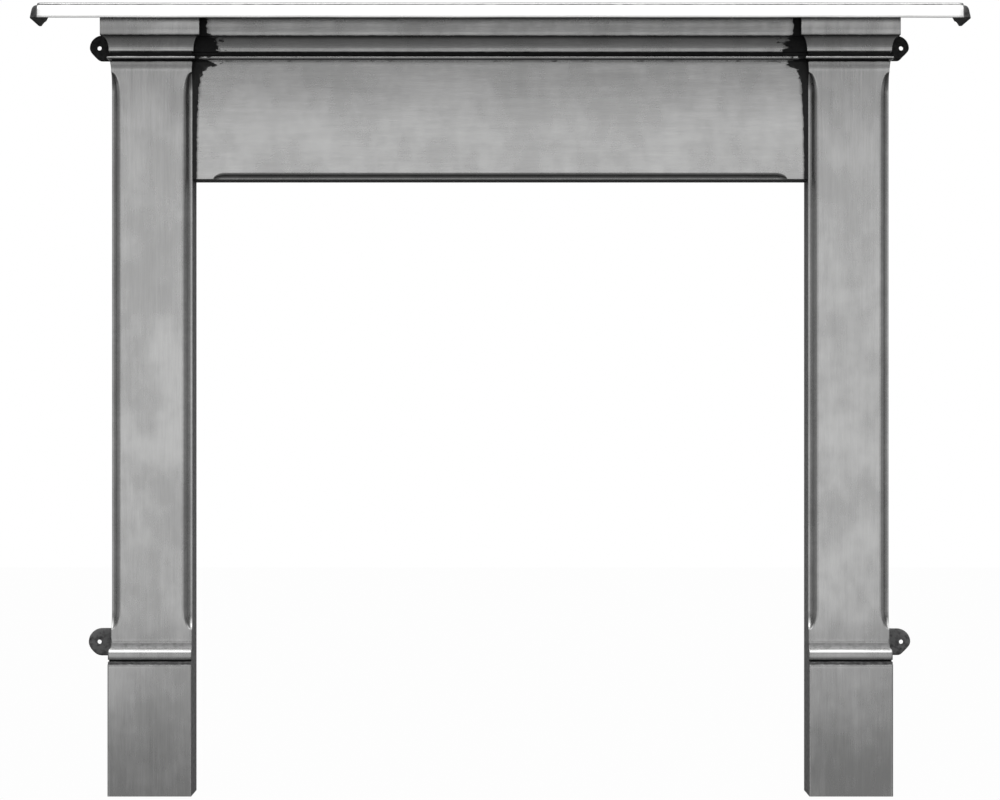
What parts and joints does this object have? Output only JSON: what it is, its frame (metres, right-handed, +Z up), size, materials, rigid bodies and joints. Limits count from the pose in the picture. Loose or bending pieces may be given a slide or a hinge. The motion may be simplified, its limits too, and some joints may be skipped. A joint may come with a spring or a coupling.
{
  "type": "fireplace surround",
  "caption": "Polished cast iron fireplace surround: pilaster jambs with plinths and capitals, plain frieze, moulded mantel shelf and wall ears, bolted from behind.",
  "frame": {"origin": "on the floor, midway between the jambs and midway between the wall plane and the shelf's front edge", "axes": "+X along the shelf to the right of someone facing the fire, +Y back towards the wall, +Z up; the front faces -Y and the wall plane is at y = +70 mm"},
  "size_m": [1.3836, 0.14, 1.1703],
  "materials": {
    "polished_iron": "hand-polished satin, grey, with dark as-cast iron in grooves, inner corners, returns, ears and back",
    "polished_shelf_iron": "polished brighter on the edge and top, as-cast below",
    "fastener_steel": "plain bright steel, slightly dulled"
  },
  "bodies": {
    "root": {"left_jamb": "polished_iron", "right_jamb": "polished_iron", "header_panel": "polished_iron", "mantel_shelf": "polished_shelf_iron", "header_bolt_left_lower": "fastener_steel", "header_washer_left_lower": "fastener_steel", "header_bolt_left_upper": "fastener_steel", "header_washer_left_upper": "fastener_steel", "header_bolt_right_lower": "fastener_steel", "header_washer_right_lower": "fastener_steel", "header_bolt_right_upper": "fastener_steel", "header_washer_right_upper": "fastener_steel", "shelf_bolt_left_jamb": "fastener_steel", "shelf_washer_left_jamb": "fastener_steel", "shelf_bolt_header_left": "fastener_steel", "shelf_washer_header_left": "fastener_steel", "shelf_bolt_header_right": "fastener_steel", "shelf_washer_header_right": "fastener_steel", "shelf_bolt_right_jamb": "fastener_steel", "shelf_washer_right_jamb": "fastener_steel"}
  },
  "joints": []
}
